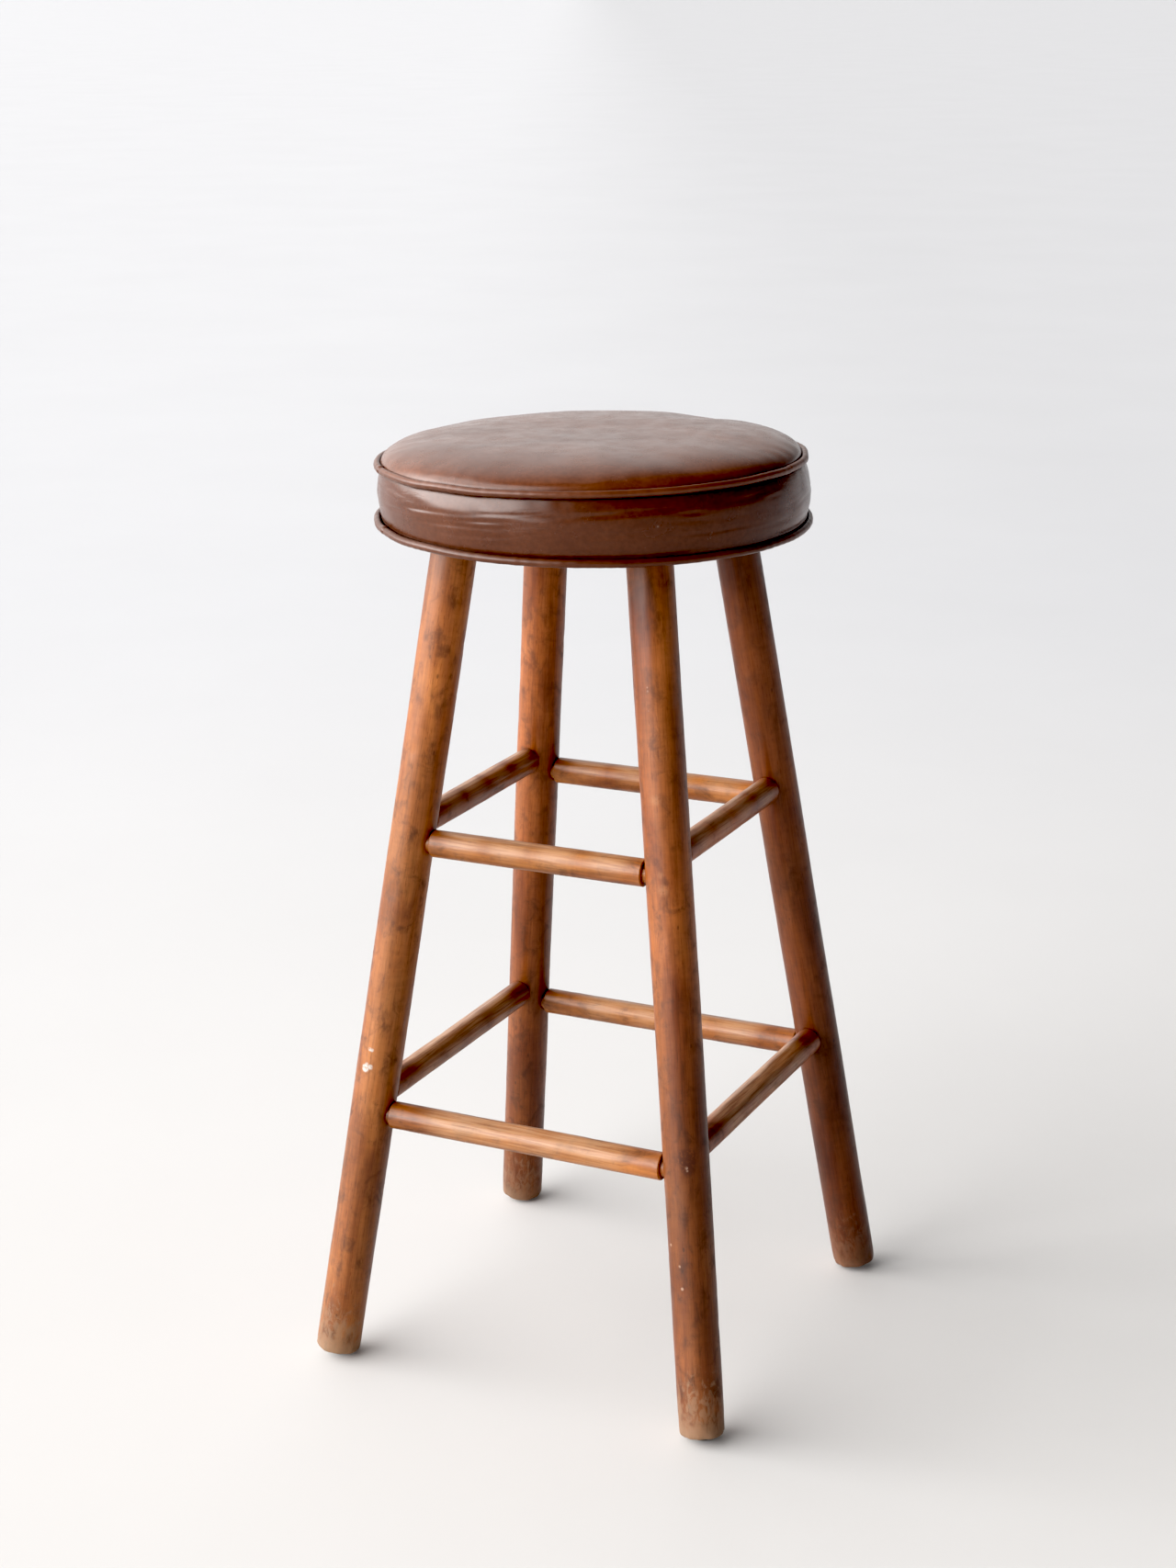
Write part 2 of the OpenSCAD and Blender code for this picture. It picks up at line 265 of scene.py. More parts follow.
class Shader:
    """A material's node tree, written as calls. Values are numbers, tuples or sockets."""

    def __init__(self, name, tree=None):
        if tree is None:
            self.material = bpy.data.materials.new(name)
            self.material.use_nodes = True
            tree = self.material.node_tree
            self.surface = tree.nodes["Principled BSDF"]
        self.tree = tree

    def put(self, socket, value):
        if isinstance(value, bpy.types.NodeSocket):
            self.tree.links.new(value, socket)
        else:
            socket.default_value = value

    def node(self, kind, inputs, out=0, **settings):
        made = self.tree.nodes.new("ShaderNode" + kind)
        for key, value in settings.items():
            setattr(made, key, value)
        for key, value in inputs.items():
            self.put(made.inputs[key], value)
        return made.outputs[out]

    def place(self, scale=(1, 1, 1), shift=(0, 0, 0), turn=(0, 0, 0)):
        """Object coordinates, scaled, turned and shifted."""
        where = self.node("TexCoord", {}, "Object")
        return self.node(
            "Mapping", {"Vector": where, "Scale": scale, "Location": shift, "Rotation": turn}
        )

    def noise(self, where, scale, detail=3.0, rough=0.5, warp=0.0):
        return self.node(
            "TexNoise",
            {"Vector": where, "Scale": scale, "Detail": detail, "Roughness": rough,
             "Distortion": warp},
        )

    def cells(self, where, scale, feature="F1"):
        return self.node("TexVoronoi", {"Vector": where, "Scale": scale}, feature=feature)

    def ramp(self, value, *stops):
        """Colours or greys at positions: (position, grey or (r, g, b))."""
        made = self.tree.nodes.new("ShaderNodeValToRGB")
        self.put(made.inputs[0], value)
        ends = made.color_ramp.elements
        while len(ends) < len(stops):
            ends.new(0.5)
        for element, (position, colour) in zip(ends, stops):
            element.position = position
            grey = not hasattr(colour, "__len__")
            element.color = (*((colour,) * 3 if grey else colour), 1)
        return made.outputs[0]

    def mix(self, share, a, b, blend="MIX"):
        a, b = ((*x, 1) if isinstance(x, tuple) else x for x in (a, b))
        made = self.tree.nodes.new("ShaderNodeMix")
        made.data_type, made.blend_type = "RGBA", blend
        for socket, value in ((0, share), (6, a), (7, b)):
            self.put(made.inputs[socket], value)
        return made.outputs[2]

    def vary(self, colour, value, *stops):
        """colour, lightened and darkened by greys that follow value."""
        return self.mix(1.0, colour, self.ramp(value, *stops), "MULTIPLY")

    def math(self, operation, a, b=0.0, clamp=False):
        return self.node("Math", {0: a, 1: b}, operation=operation, use_clamp=clamp)

    def times(self, a, b):
        return self.math("MULTIPLY", a, b)

    def plus(self, a, b, clamp=False):
        return self.math("ADD", a, b, clamp)

    def along_z(self, where):
        return self.node("SeparateXYZ", {0: where}, 2)

    def dot(self, where, vector):
        return self.node(
            "VectorMath", {0: where, 1: tuple(vector)}, "Value", operation="DOT_PRODUCT"
        )

    def span(self, value, low, high, to_low=0.0, to_high=1.0):
        """value from low..high to to_low..to_high, held at the ends."""
        return self.node(
            "MapRange",
            {"Value": value, "From Min": low, "From Max": high, "To Min": to_low,
             "To Max": to_high},
            interpolation_type="SMOOTHSTEP",
        )

    def near(self, where, point, radius, soft):
        """1 within radius of a point in millimetres, falling to 0 over soft."""
        away = self.node(
            "VectorMath", {0: where, 1: tuple(c * MM for c in point)}, "Value",
            operation="DISTANCE",
        )
        return self.span(away, radius * MM, (radius + soft) * MM, 1.0, 0.0)

    def crevice(self, reach, closed, open_share):
        """1 in narrow gaps, where at most the share closed of the space within reach
        millimetres is free, falling to 0 where open_share of it is. The materials use it to
        paint shade into these gaps."""
        free = self.node("AmbientOcclusion", {"Distance": reach * MM}, 1, samples=4)
        return self.span(free, closed, open_share, 1.0, 0.0)

    def bump(self, height, distance, strength=1.0, normal=None):
        inputs = {"Height": height, "Distance": distance * MM, "Strength": strength}
        if normal is not None:
            inputs["Normal"] = normal
        return self.node("Bump", inputs)

    def finish(self, **values):
        for key, value in values.items():
            self.put(self.surface.inputs[key.replace("_", " ")], value)
        return self.material


def paint(obj, material):
    obj.data.materials.clear()
    obj.data.materials.append(material)


def repaint(node, material):
    """Gives a CAD node that stays in view a better material."""
    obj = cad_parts[node]
    for slot in obj.material_slots:
        slot.material = material
    if not obj.material_slots:
        obj.data.materials.append(material)


# ---- materials

# (position in the noise, colour before tone and yellow) of the stain, from dark to light
STAIN = (
    (0.28, (0.160, 0.041, 0.0110)),
    (0.42, (0.255, 0.075, 0.0190)),
    (0.57, (0.350, 0.115, 0.0290)),
    (0.76, (0.440, 0.162, 0.0480)),
)
OPEN_PORE = (0.74, 0.66, 0.60)  # multiplies the stain
GRIME = (0.080, 0.027, 0.011)
SPECK = (0.035, 0.013, 0.007)
RUBBED_BARE = (0.43, 0.235, 0.120)
SCUFFED = (0.270, 0.165, 0.095)
FOOT_EDGE = (0.275, 0.180, 0.110)
# painted shade, for the wood's narrow gaps and joints
JOINT_SHADOW = (0.030, 0.010, 0.004)
SCUFF_HEIGHT = 95  # millimetres that scuffs reach up from a foot

VINYL_BROWN = (
    (0.32, (0.100, 0.0325, 0.0142)),
    (0.50, (0.123, 0.0412, 0.0184)),
    (0.68, (0.152, 0.0530, 0.0245)),
)
WORN_PEBBLE = (0.150, 0.056, 0.030)
# painted shade, for the band and the welts below the upper welt
PAINTED_UNDER_SHADE = (0.012, 0.004, 0.002)
# painted shade, for the seams and the grooves beside the welts
SEAM_SHADOW = (0.010, 0.004, 0.002)
CREASE_LOW, CREASE_HIGH = 0.740, 0.752  # heights in metres where the fine creases end


def wood(name, seed, tone=1.0, yellow=1.0, worn=(), foot=None, scuffs=1.0, marks=()):
    """Stained hardwood with its grain along local Z.
    tone lightens the stain and yellow makes it less red. worn lists soft rubbed areas as
    (point, radius, soft edge), and marks lists (point, radius, soft edge, colour, share),
    both in millimetres. foot is how far along a leg its scuffed end is, and scuffs how
    strongly it is scuffed."""
    s = Shader(name)
    shift = (seed * 0.37, seed * 0.71, seed * 1.13)
    plain = s.place()

    # the stain, uneven over the leg, then the grain's fibres, figure and open pores
    broad = s.noise(s.place((1, 1, 0.22), shift), 34, 4, 0.62, 0.5)
    colour = s.ramp(broad, *(
        (at, (red * tone, green * tone * yellow, blue * tone * yellow))
        for at, (red, green, blue) in STAIN
    ))
    fibres = s.noise(s.place((1, 1, 0.035), shift), 620, 3, 0.6, 0.3)
    colour = s.vary(colour, fibres, (0.30, 0.76), (0.52, 1.0), (0.75, 1.14))
    flame = s.noise(s.place((0.25, 0.25, 1), shift), 210, 2, 0.5, 0.8)
    colour = s.vary(colour, flame, (0.35, 0.93), (0.65, 1.04))
    pores = s.noise(s.place((1, 1, 0.09), shift), 1300, 1, 0.4)
    pore_mask = s.span(pores, 0.63, 0.72)
    colour = s.mix(pore_mask, colour, s.mix(1.0, colour, OPEN_PORE, "MULTIPLY"))

    # dirt rubbed into it: clouds, darker lengths and dark specks in groups
    grime = s.noise(s.place((1, 1, 0.7), shift), 75, 5, 0.66, 0.5)
    grime_mask = s.span(grime, 0.47, 0.72, 0.0, 0.72)
    colour = s.mix(grime_mask, colour, GRIME)
    patches = s.noise(s.place((1, 1, 0.5), shift), 16, 2, 0.5)
    colour = s.vary(colour, patches, (0.34, 0.74), (0.62, 1.12))
    specks = s.span(s.cells(s.place((1, 1, 0.45), shift), 115), 0.07, 0.13, 1.0, 0.0)
    groups = s.span(s.noise(s.place((1, 1, 1), shift), 24, 2), 0.52, 0.62)
    speck_mask = s.times(specks, groups)
    colour = s.mix(s.times(speck_mask, 0.6), colour, SPECK)
    rough = s.span(broad, 0.3, 0.75, 0.37, 0.47)
    rough = s.plus(rough, s.times(grime_mask, 0.18))
    for point, radius, soft in worn:
        rubbed = s.near(plain, point, radius, soft)
        mask = s.times(rubbed, s.span(fibres, 0.35, 0.62, 0.25, 0.8))
        colour = s.mix(mask, colour, RUBBED_BARE)
        rough = s.math("SUBTRACT", rough, s.times(mask, 0.06))
    height = s.plus(s.times(fibres, 0.6), s.times(pore_mask, -0.8))
    height = s.plus(height, s.times(speck_mask, -1.2))

    if foot is not None:
        # a leg is darker low down, it has painted shade just under the seat, and its foot is
        # scuffed pale
        along = s.along_z(plain)
        darker_low_down = s.span(along, 0.16, 0.50, 0.72, 1.0)
        # painted shade just under the seat, on top of the darkening low down
        dirt = s.times(darker_low_down, s.span(along, 0.62, 0.70, 1.0, 0.72))
        colour = s.vary(colour, dirt, (0.0, 0.0), (1.0, 1.0))
        scuff = s.noise(s.place((1, 1, 0.5), shift), 170, 5, 0.7, 1.2)
        reach = s.span(along, foot * MM, (foot + SCUFF_HEIGHT) * MM, 0.36, 0.0)
        mask = s.span(s.plus(scuff, reach), 0.66, 0.90, 0.0, 0.60 * scuffs)
        colour = s.mix(mask, colour, SCUFFED)
        ragged = s.plus(along, s.times(scuff, 0.020))
        edge = s.span(ragged, (foot + 9) * MM, (foot + 26) * MM, 0.55 * scuffs, 0.0)
        colour = s.mix(edge, colour, FOOT_EDGE)
        rough = s.plus(rough, s.times(mask, 0.22))
        height = s.plus(height, s.times(s.times(scuff, mask), -1.6))
    for point, radius, soft, tint, share in marks:
        ragged = s.noise(plain, 420, 3, 0.6)
        spot = s.near(plain, point, radius, soft)
        mask = s.times(spot, s.span(ragged, 0.36, 0.5, 0.3, 1.0))
        colour = s.mix(s.times(mask, share), colour, tint)
    # painted shade: the colour darkens towards JOINT_SHADOW in narrow gaps such as joints, and it
    # is rougher there
    crevice_shade = s.crevice(4.0, 0.15, 0.60)
    return s.finish(
        Base_Color=s.mix(s.times(crevice_shade, 0.8), colour, JOINT_SHADOW),
        Roughness=s.plus(rough, s.times(crevice_shade, 0.4), True),
        Normal=s.bump(height, 0.12, 0.5),
        IOR=1.5,
        Coat_Weight=0.1,
        Coat_Roughness=0.2,
        Coat_IOR=1.5,
    )


def vinyl(name, creases=True, marks=(), dull=0.0, painted_shade_below=0.0):
    """Brown upholstery vinyl with a fine leather grain, rubbed a little on the high places.
    creases adds the band's fine creases, marks is as for wood, dull adds roughness, and
    the last argument is the share of painted shade that darkens what lies below the upper welt."""
    s = Shader(name)
    plain = s.place()
    pebble = s.cells(plain, 820, "SMOOTH_F1")
    fine = s.noise(plain, 1500, 2, 0.6)
    broad = s.noise(plain, 17, 4, 0.6, 0.4)
    colour = s.ramp(broad, *VINYL_BROWN)
    mottle = s.noise(plain, 300, 2, 0.5)
    colour = s.vary(colour, mottle, (0.34, 0.88), (0.66, 1.11))
    colour = s.mix(s.span(pebble, 0.0, 0.75, 0.12, 0.0), colour, WORN_PEBBLE)
    # painted shade: what lies below the upper welt, the band and the lower welt, is darkened by
    # the given share
    low = s.span(s.along_z(plain), TOP_WELT_Z * MM, (TOP_WELT_Z + 2) * MM, 1.0, 0.0)
    colour = s.mix(s.times(low, painted_shade_below), colour, PAINTED_UNDER_SHADE)
    for point, radius, soft, tint, share in marks:
        mask = s.near(plain, point, radius, soft)
        colour = s.mix(s.times(mask, share), colour, tint)
    height = s.plus(s.times(pebble, -0.55), s.times(fine, 0.25))
    normal = s.bump(height, 0.07, 0.18)
    if creases:
        # they run round the band in patches, and there are none on the crown
        fold = s.noise(s.place((1, 1, 7), (0.2, 0.5, 0.1)), 30, 1, 0.5, 0.2)
        lines = s.math("ABSOLUTE", s.math("SUBTRACT", fold, 0.5))
        patch = s.span(s.noise(plain, 14, 2), 0.40, 0.62)
        below = s.span(s.along_z(plain), CREASE_LOW, CREASE_HIGH, 1.0, 0.0)
        line = s.times(s.span(lines, 0.0, 0.035, 1.0, 0.0), s.times(patch, below))
        normal = s.bump(s.times(line, -1.0), 0.14, 0.22, normal)
    rough = s.span(s.noise(plain, 60, 4, 0.6), 0.3, 0.7, 0.20 + dull, 0.28 + dull)
    # painted shade: the colour darkens towards SEAM_SHADOW in the grooves beside the welts and
    # other narrow gaps, and it is rougher there
    seam = s.crevice(5.0, 0.12, 0.72)
    return s.finish(
        Base_Color=s.mix(s.times(seam, 0.9), colour, SEAM_SHADOW),
        Roughness=s.plus(rough, s.times(seam, 0.5), True),
        Normal=normal,
        IOR=1.47,
    )


def plywood():
    """Bare fir plywood, seen from below: broad rotary-cut figure and a few stains."""
    s = Shader("plywood_face")
    figure = s.noise(s.place((1, 0.16, 1), (0.4, 0.2, 0.1)), 26, 3, 0.5, 1.1)
    waves = s.math("SINE", s.times(figure, 95.0))
    colour = s.ramp(
        s.span(waves, -1.0, 1.0),
        (0.0, (0.36, 0.225, 0.115)), (0.6, (0.47, 0.315, 0.175)), (1.0, (0.53, 0.375, 0.22)),
    )
    fibre = s.noise(s.place((1, 0.04, 1)), 900, 2, 0.6)
    colour = s.vary(colour, fibre, (0.35, 0.84), (0.65, 1.08))
    stain = s.span(s.noise(s.place(), 9, 4, 0.6), 0.52, 0.68, 0.0, 0.35)
    colour = s.mix(stain, colour, (0.20, 0.12, 0.065))
    return s.finish(Base_Color=colour, Roughness=0.78, Normal=s.bump(fibre, 0.12, 0.5))


def steel(name, tint, dirt, dirt_share, rough):
    """Dulled steel with fine scratches, and dirt over up to dirt_share of it."""
    s = Shader(name)
    plain = s.place()
    scratch = s.noise(s.place((1, 0.06, 1), (0, 0, 0), (0, 0, 0.6)), 2600, 2, 0.6)
    grime = s.span(s.noise(plain, 240, 4, 0.65), 0.42, 0.64, 0.0, dirt_share)
    colour = s.mix(grime, tint, dirt)
    metal = s.math("SUBTRACT", 1.0, grime, True)
    scratched = s.span(scratch, 0.3, 0.7, rough, rough + 0.14)
    return s.finish(
        Base_Color=colour,
        Metallic=metal,
        Roughness=s.plus(scratched, s.times(grime, 0.3)),
        Normal=s.bump(scratch, 0.02, 0.4),
    )


# ---- legs and stretchers

# which side of the middle each leg and stretcher is on, in X and in Y
CORNERS = {
    "front_left": (-1, -1), "front_right": (1, -1), "back_left": (-1, 1), "back_right": (1, 1),
}
FACES = {"front": (0, -1), "back": (0, 1), "left": (-1, 0), "right": (1, 0)}
LEG_SIDES, STRETCHER_SIDES = 64, 52  # mesh columns round a rod
ROD_STEP = 2.8  # mesh spacing along a rod
RUBBED_AT = (-62, -22, 20, 66)  # where feet rub along a stretcher, from its middle


def leg_matrix(side, depth):
    """Local Z up the leg's axis, origin where the axis meets the floor."""
    turn = Matrix.Rotation(math.atan2(-depth, -side), 4, "Z")
    tilt = Matrix.Rotation(SPLAY, 4, "Y")
    at = Vector((side, depth, 0)) * FLOOR_SPACING / 2 * MM
    return Matrix.Translation(at) @ turn @ tilt


def stretcher_matrix(side, depth, z):
    """Local Z along the stretcher, local Y up, origin at its middle."""
    along = Vector((1, 0, 0)) if side == 0 else Vector((0, 1, 0))
    up = Vector((0, 0, 1))
    across = up.cross(along)
    at = Vector((side * half_spacing(z), depth * half_spacing(z), z)) * MM
    turn = Matrix((across, up, along)).transposed().to_4x4()
    return Matrix.Translation(at) @ turn


def racked(point):
    """Where the frame's twist takes a point given in millimetres."""
    return Vector(rack(np.array([point]), Matrix())[0])


def dents(angle, along, radius, seed, count, low, high, depth, size):
    """Depth of count shallow knocks scattered over a rod from low to high along it."""
    rng = np.random.default_rng(seed)
    total = np.zeros_like(along, dtype=float)
    for _ in range(count):
        a, s = rng.uniform(0, 2 * math.pi), rng.uniform(low, high)
        width, long = rng.uniform(0.5, 1.0) * size, rng.uniform(0.6, 2.2) * size
        off = wrapped(angle, a) * radius
        total += depth * rng.uniform(0.3, 1) * hump(off, width, along - s, long)
    return total


def rod_points(angle, along, radius):
    """A rod's surface for ripple(), shortened so that its unevenness runs along the grain."""
    return polar(radius, angle, along * 0.25)


def leg_wear(seed):
    """Unevenness and knocks all over a leg's body, and a foot worn round at its edge."""

    def wear(angle, along, radius):
        body = (along < SHOULDER_S - 0.01) & (radius > LEG_R - 2.6)
        points = rod_points(angle, along, LEG_R)
        worn = 0.16 * ripple(points, 42, seed) + 0.05 * ripple(points, 9, seed + 1)
        worn += dents(angle, along, LEG_R, seed + 2, 46, FOOT_S, SHOULDER_S, 0.45, 3.4)
        low = np.exp(-(along - FOOT_S) / 5.0)
        worn += low * (0.55 + 0.55 * ripple(points, 11, seed + 3))
        worn += dents(angle, along, LEG_R, seed + 4, 14, FOOT_S, FOOT_S + 14, 0.8, 2.4)
        return np.where(body, np.clip(worn + 0.12, -0.1, 1.9), 0)

    return wear


def stretcher_wear(seed, flat, towards):
    """flat is the depth worn off on the side that feet rub, at the angle towards."""

    def wear(angle, along, radius):
        body = radius > STRETCHER_R - 1
        points = rod_points(angle, along, STRETCHER_R)
        worn = 0.10 * ripple(points, 30, seed) + 0.04 * ripple(points, 7, seed + 1)
        worn += dents(angle, along, STRETCHER_R, seed + 2, 20, -150, 150, 0.3, 2.6)
        reach = np.clip(1 - (along / 120.0) ** 4, 0, 1)
        depth = flat * reach * (0.8 + 0.2 * ripple(points[..., 2:], 18, seed + 3))
        turn = np.cos(angle - towards)
        chord = (STRETCHER_R - depth) / np.maximum(turn, 0.2)
        facet = np.clip(STRETCHER_R - chord, 0, None)
        return np.where(body, np.clip(worn + facet + 0.08, -0.05, 2.5), 0)

    return wear


def make_leg(name, side, depth, seed):
    """A leg with its tenon, the sockets of its four stretchers and its glide's nail hole."""
    body = steps(FOOT_S + 2.2, SHOULDER_S, ROD_STEP)
    outline = [(FOOT_S, 6.0), (FOOT_S, LEG_R - 2.4), (FOOT_S + 0.25, LEG_R - 1.3),
               (FOOT_S + 1.0, LEG_R - 0.4)]
    outline += [(s, LEG_R) for s in body]
    outline += [(SHOULDER_S, LEG_TENON_R)]
    outline += [(s, LEG_TENON_R) for s in steps(SHOULDER_S + 3, TENON_END_S - TENON_EDGE, 4)]
    outline += [(TENON_END_S, LEG_TENON_R - TENON_EDGE)]
    matrix = leg_matrix(side, depth)
    obj = rod("turned_leg_" + name, outline, LEG_SIDES, matrix, leg_wear(seed))
    points, faces = [], []
    radius = STRETCHER_TENON_R + GAP / 2
    for z in (UPPER_Z, LOWER_Z):
        for along_x in (True, False):
            height = z if along_x else z + SIDE_RISE
            centre = Vector((side, depth, 0)) * half_spacing(height) + Vector((0, 0, height))
            inward = Vector((-side, 0, 0)) if along_x else Vector((0, -depth, 0))
            near = centre + inward * (TENON_BACK - END_ROOM)
            cylinder_cutter(points, faces, near, centre + inward * 2 * LEG_R, radius)
    points = [racked(p) for p in points]
    axis = (matrix.to_3x3() @ Vector((0, 0, 1))).normalized()
    foot = Vector((side, depth, 0)) * FLOOR_SPACING / 2
    nail_start, nail_end = FOOT_S - 2, FOOT_S + NAIL_LENGTH + END_ROOM
    cylinder_cutter(
        points, faces, foot + axis * nail_start, foot + axis * nail_end, NAIL_R + GAP / 2, 20
    )
    cut(obj, points, faces)
    shade(obj, SHARP_ANGLE)
    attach(obj, "root")
    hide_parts("leg_" + name)
    return obj


def make_stretcher(tier, face, z, seed, flat, towards):
    """A stretcher with a tenon at each end; flat and towards are as for stretcher_wear."""
    side, depth = FACES[face]
    body = half_spacing(z) - SHOULDER_BACK
    tenon = half_spacing(z) - TENON_BACK
    half = [(0, STRETCHER_R)]
    half += [(s, STRETCHER_R) for s in steps(ROD_STEP, body - STRETCHER_EDGE, ROD_STEP)]
    half += [(body, STRETCHER_R - STRETCHER_EDGE), (body, STRETCHER_TENON_R)]
    half += [(tenon - STRETCHER_EDGE, STRETCHER_TENON_R)]
    half += [(tenon, STRETCHER_TENON_R - STRETCHER_EDGE)]
    outline = [(-s, r) for s, r in reversed(half[1:])] + half
    matrix = stretcher_matrix(side, depth, z)
    wear = stretcher_wear(seed, flat, towards)
    obj = rod(f"round_stretcher_{tier}_{face}", outline, STRETCHER_SIDES, matrix, wear)
    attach(obj, "root")
    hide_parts(f"{tier}_{face}_stretcher")
    return obj


def on_leg(along, degrees):
    """A point on a leg's surface in its own frame; 180 degrees faces away from the stool's
    middle."""
    a = math.radians(degrees)
    return (LEG_R * math.cos(a), LEG_R * math.sin(a), along)


PALE_PAINT = (0.52, 0.53, 0.50)
SCAR = (0.062, 0.018, 0.008)
NICK = (0.58, 0.40, 0.29)
RUBBED = (0.50, 0.250, 0.110)
# (point, radius, soft edge, colour, share): old paint, nicks, a scar and rubbed spots
LEG_MARKS = {
    "front_left": [
        (on_leg(260.6, 218), 2.2, 2.0, PALE_PAINT, 0.85),
        (on_leg(262.8, 232), 1.6, 1.3, PALE_PAINT, 0.7),
        (on_leg(264.2, 221), 1.2, 1.2, PALE_PAINT, 0.5),
        (on_leg(277.7, 224), 1.3, 1.0, PALE_PAINT, 0.6),
        (on_leg(277.5, 230), 1.3, 1.0, PALE_PAINT, 0.6),
    ],
    "front_right": [
        (on_leg(234, 166), 5.5, 6.0, SCAR, 0.85),
        (on_leg(226, 168), 4.0, 4.5, SCAR, 0.80),
        (on_leg(226.5, 163), 0.9, 0.9, NICK, 0.6),
        (on_leg(224.2, 164.5), 0.7, 0.8, NICK, 0.45),
        (on_leg(446, 148), 2.0, 4.5, RUBBED, 0.22),
        (on_leg(458, 144), 1.2, 3.0, RUBBED, 0.18),
        (on_leg(467.8, 134), 2.0, 3.5, SCAR, 0.5),
        (on_leg(452, 158), 1.2, 3.0, SCAR, 0.4),
        (on_leg(516, 142), 2.0, 4.0, RUBBED, 0.22),
    ] + [
        (on_leg(along, degrees), radius, 0.9, NICK, share)
        for along, degrees, radius, share in (
            (617, 141, 0.7, 0.55), (611, 140.5, 0.5, 0.5), (603, 140, 1.0, 0.9),
            (600, 140, 1.1, 0.9), (591, 139.5, 0.6, 0.6), (585, 140, 0.9, 0.75),
            (579, 138, 0.8, 0.7), (574, 139, 1.0, 0.8), (566, 138, 0.7, 0.6),
            (559, 138, 0.7, 0.55), (163, 100, 1.2, 0.6), (147, 128, 0.9, 0.5),
            (129, 132, 1.0, 0.5),
        )
    ],
}
# (tone, yellow, scuffs) of each leg's wood
LEG_LOOKS = {
    "front_left": (1.08, 1.04, 1.0),
    "front_right": (0.80, 0.93, 0.9),
    "back_left": (0.82, 0.92, 0.6),
    "back_right": (0.47, 0.84, 0.3),
}
for number, (name, corner) in enumerate(CORNERS.items()):
    leg = make_leg(name, *corner, seed=11 + 10 * number)
    tone, yellow, scuffs = LEG_LOOKS[name]
    spots = LEG_MARKS.get(name, ())
    paint(leg, wood("stained_leg_" + name, 3 + number, tone, yellow, (), FOOT_S, scuffs, spots))

UP = math.pi / 2
# (depth that is worn flat, angle that the flat faces, tone, yellow) of each stretcher
WORN_TOP = {
    ("upper", "front"): (0.5, UP + 0.25, 1.08, 1.12),
    ("upper", "back"): (0.35, UP, 1.20, 1.12),
    ("upper", "left"): (0.35, UP - 0.2, 0.76, 0.90),
    ("upper", "right"): (0.45, UP + 0.2, 0.78, 0.86),
    ("lower", "front"): (1.35, UP + 0.35, 1.06, 1.08),
    ("lower", "back"): (0.9, UP - 0.2, 1.06, 1.12),
    ("lower", "left"): (0.9, UP - 0.3, 0.80, 1.0),
    ("lower", "right"): (1.0, UP + 0.3, 0.74, 0.84),
}
for number, ((tier, face), (flat, towards, tone, yellow)) in enumerate(WORN_TOP.items()):
    z = UPPER_Z if tier == "upper" else LOWER_Z
    z += SIDE_RISE if face in ("left", "right") else 0
    stretcher = make_stretcher(tier, face, z, 201 + 10 * number, flat, towards)
    reach = 14 + 9 * flat
    rubbed = [((0, STRETCHER_R + 6, along), reach * 0.55, reach) for along in RUBBED_AT]
    paint(stretcher, wood(f"stained_stretcher_{tier}_{face}", 20 + number, tone, yellow, rubbed))


# ---- cushion

COLUMNS = 240  # cells round the seat; a multiple of 4
BLOCK = COLUMNS // 4  # cells along each side of the middle block of the crown
BLOCK_R = 0.62 * PANEL_R  # where the block starts
CELL = 4.2  # distance between the crown's rings
HELD_R = 0.80 * PANEL_R  # evening out the cells leaves the rings beyond this alone
EVEN_ROUNDS = 160
RIM_R, RIM_LIFT = PANEL_R + 1.0, 1.2  # the crown's rim, pressed a little into its welt

# The shape that the simulation starts from, and how far it may go
START_RISE, START_BULGE = 18.7, 4.0
FLATNESS = 6  # power of the crown's curve: flat on top, steep at the rim
BAND_ROWS = 24
HEM_RADII, WALL_HEIGHTS = (163.0, 157.0, 151.0), (705.0, 715.0)
FOAM_RADII = (150.0, 110.0, 60.0, 20.0)
PRESSURE, FRAMES = 4.0, 20
FOAM_HOLD = 0.1  # how strongly the foam holds the cover where it is
SOFTEN = 40  # rounds of smoothing of the moves
MOST_SWELL = 5.0  # millimetres

DIP, DIP_R = (36, 128), 26.0  # a dent near the back of the crown
SAT, SAT_R = (12, -10), 80.0  # and a broad one in its middle
DRAG_LINES = 95
# (degrees round the seat, share of the band's height, length, depth) of its clearest creases
BAND_CREASES = [
    (236, 0.50, 26, 0.45), (246, 0.62, 30, 0.40), (256, 0.44, 34, 0.42), (266, 0.56, 26, 0.35),
    (262, 0.30, 30, 0.25), (330, 0.36, 40, 0.28), (352, 0.30, 34, 0.30), (20, 0.52, 30, 0.30),
]
# where the band's seam and the welts' lap joints are, in degrees round the seat
BAND_SEAM, TOP_JOINT, LOW_JOINT = 193, 220.9, 225.4
TOP_WELT_COLUMNS, LOW_WELT_COLUMNS = 900, 960


def crown_height(r):
    rise = START_RISE * np.sqrt(np.clip(1 - (r / RIM_R) ** FLATNESS, 0, 1))
    return TOP_WELT_Z + RIM_LIFT + rise


def crown_radii():
    """Ring radii from the rim inwards, evenly spaced along the crown's curve."""
    r = np.linspace(RIM_R, BLOCK_R, 6000)
    step = np.hypot(np.diff(r), np.diff(crown_height(r)))
    length = np.concatenate([[0], np.cumsum(step)])
    return np.interp(steps(0, length[-1], CELL), length, r)


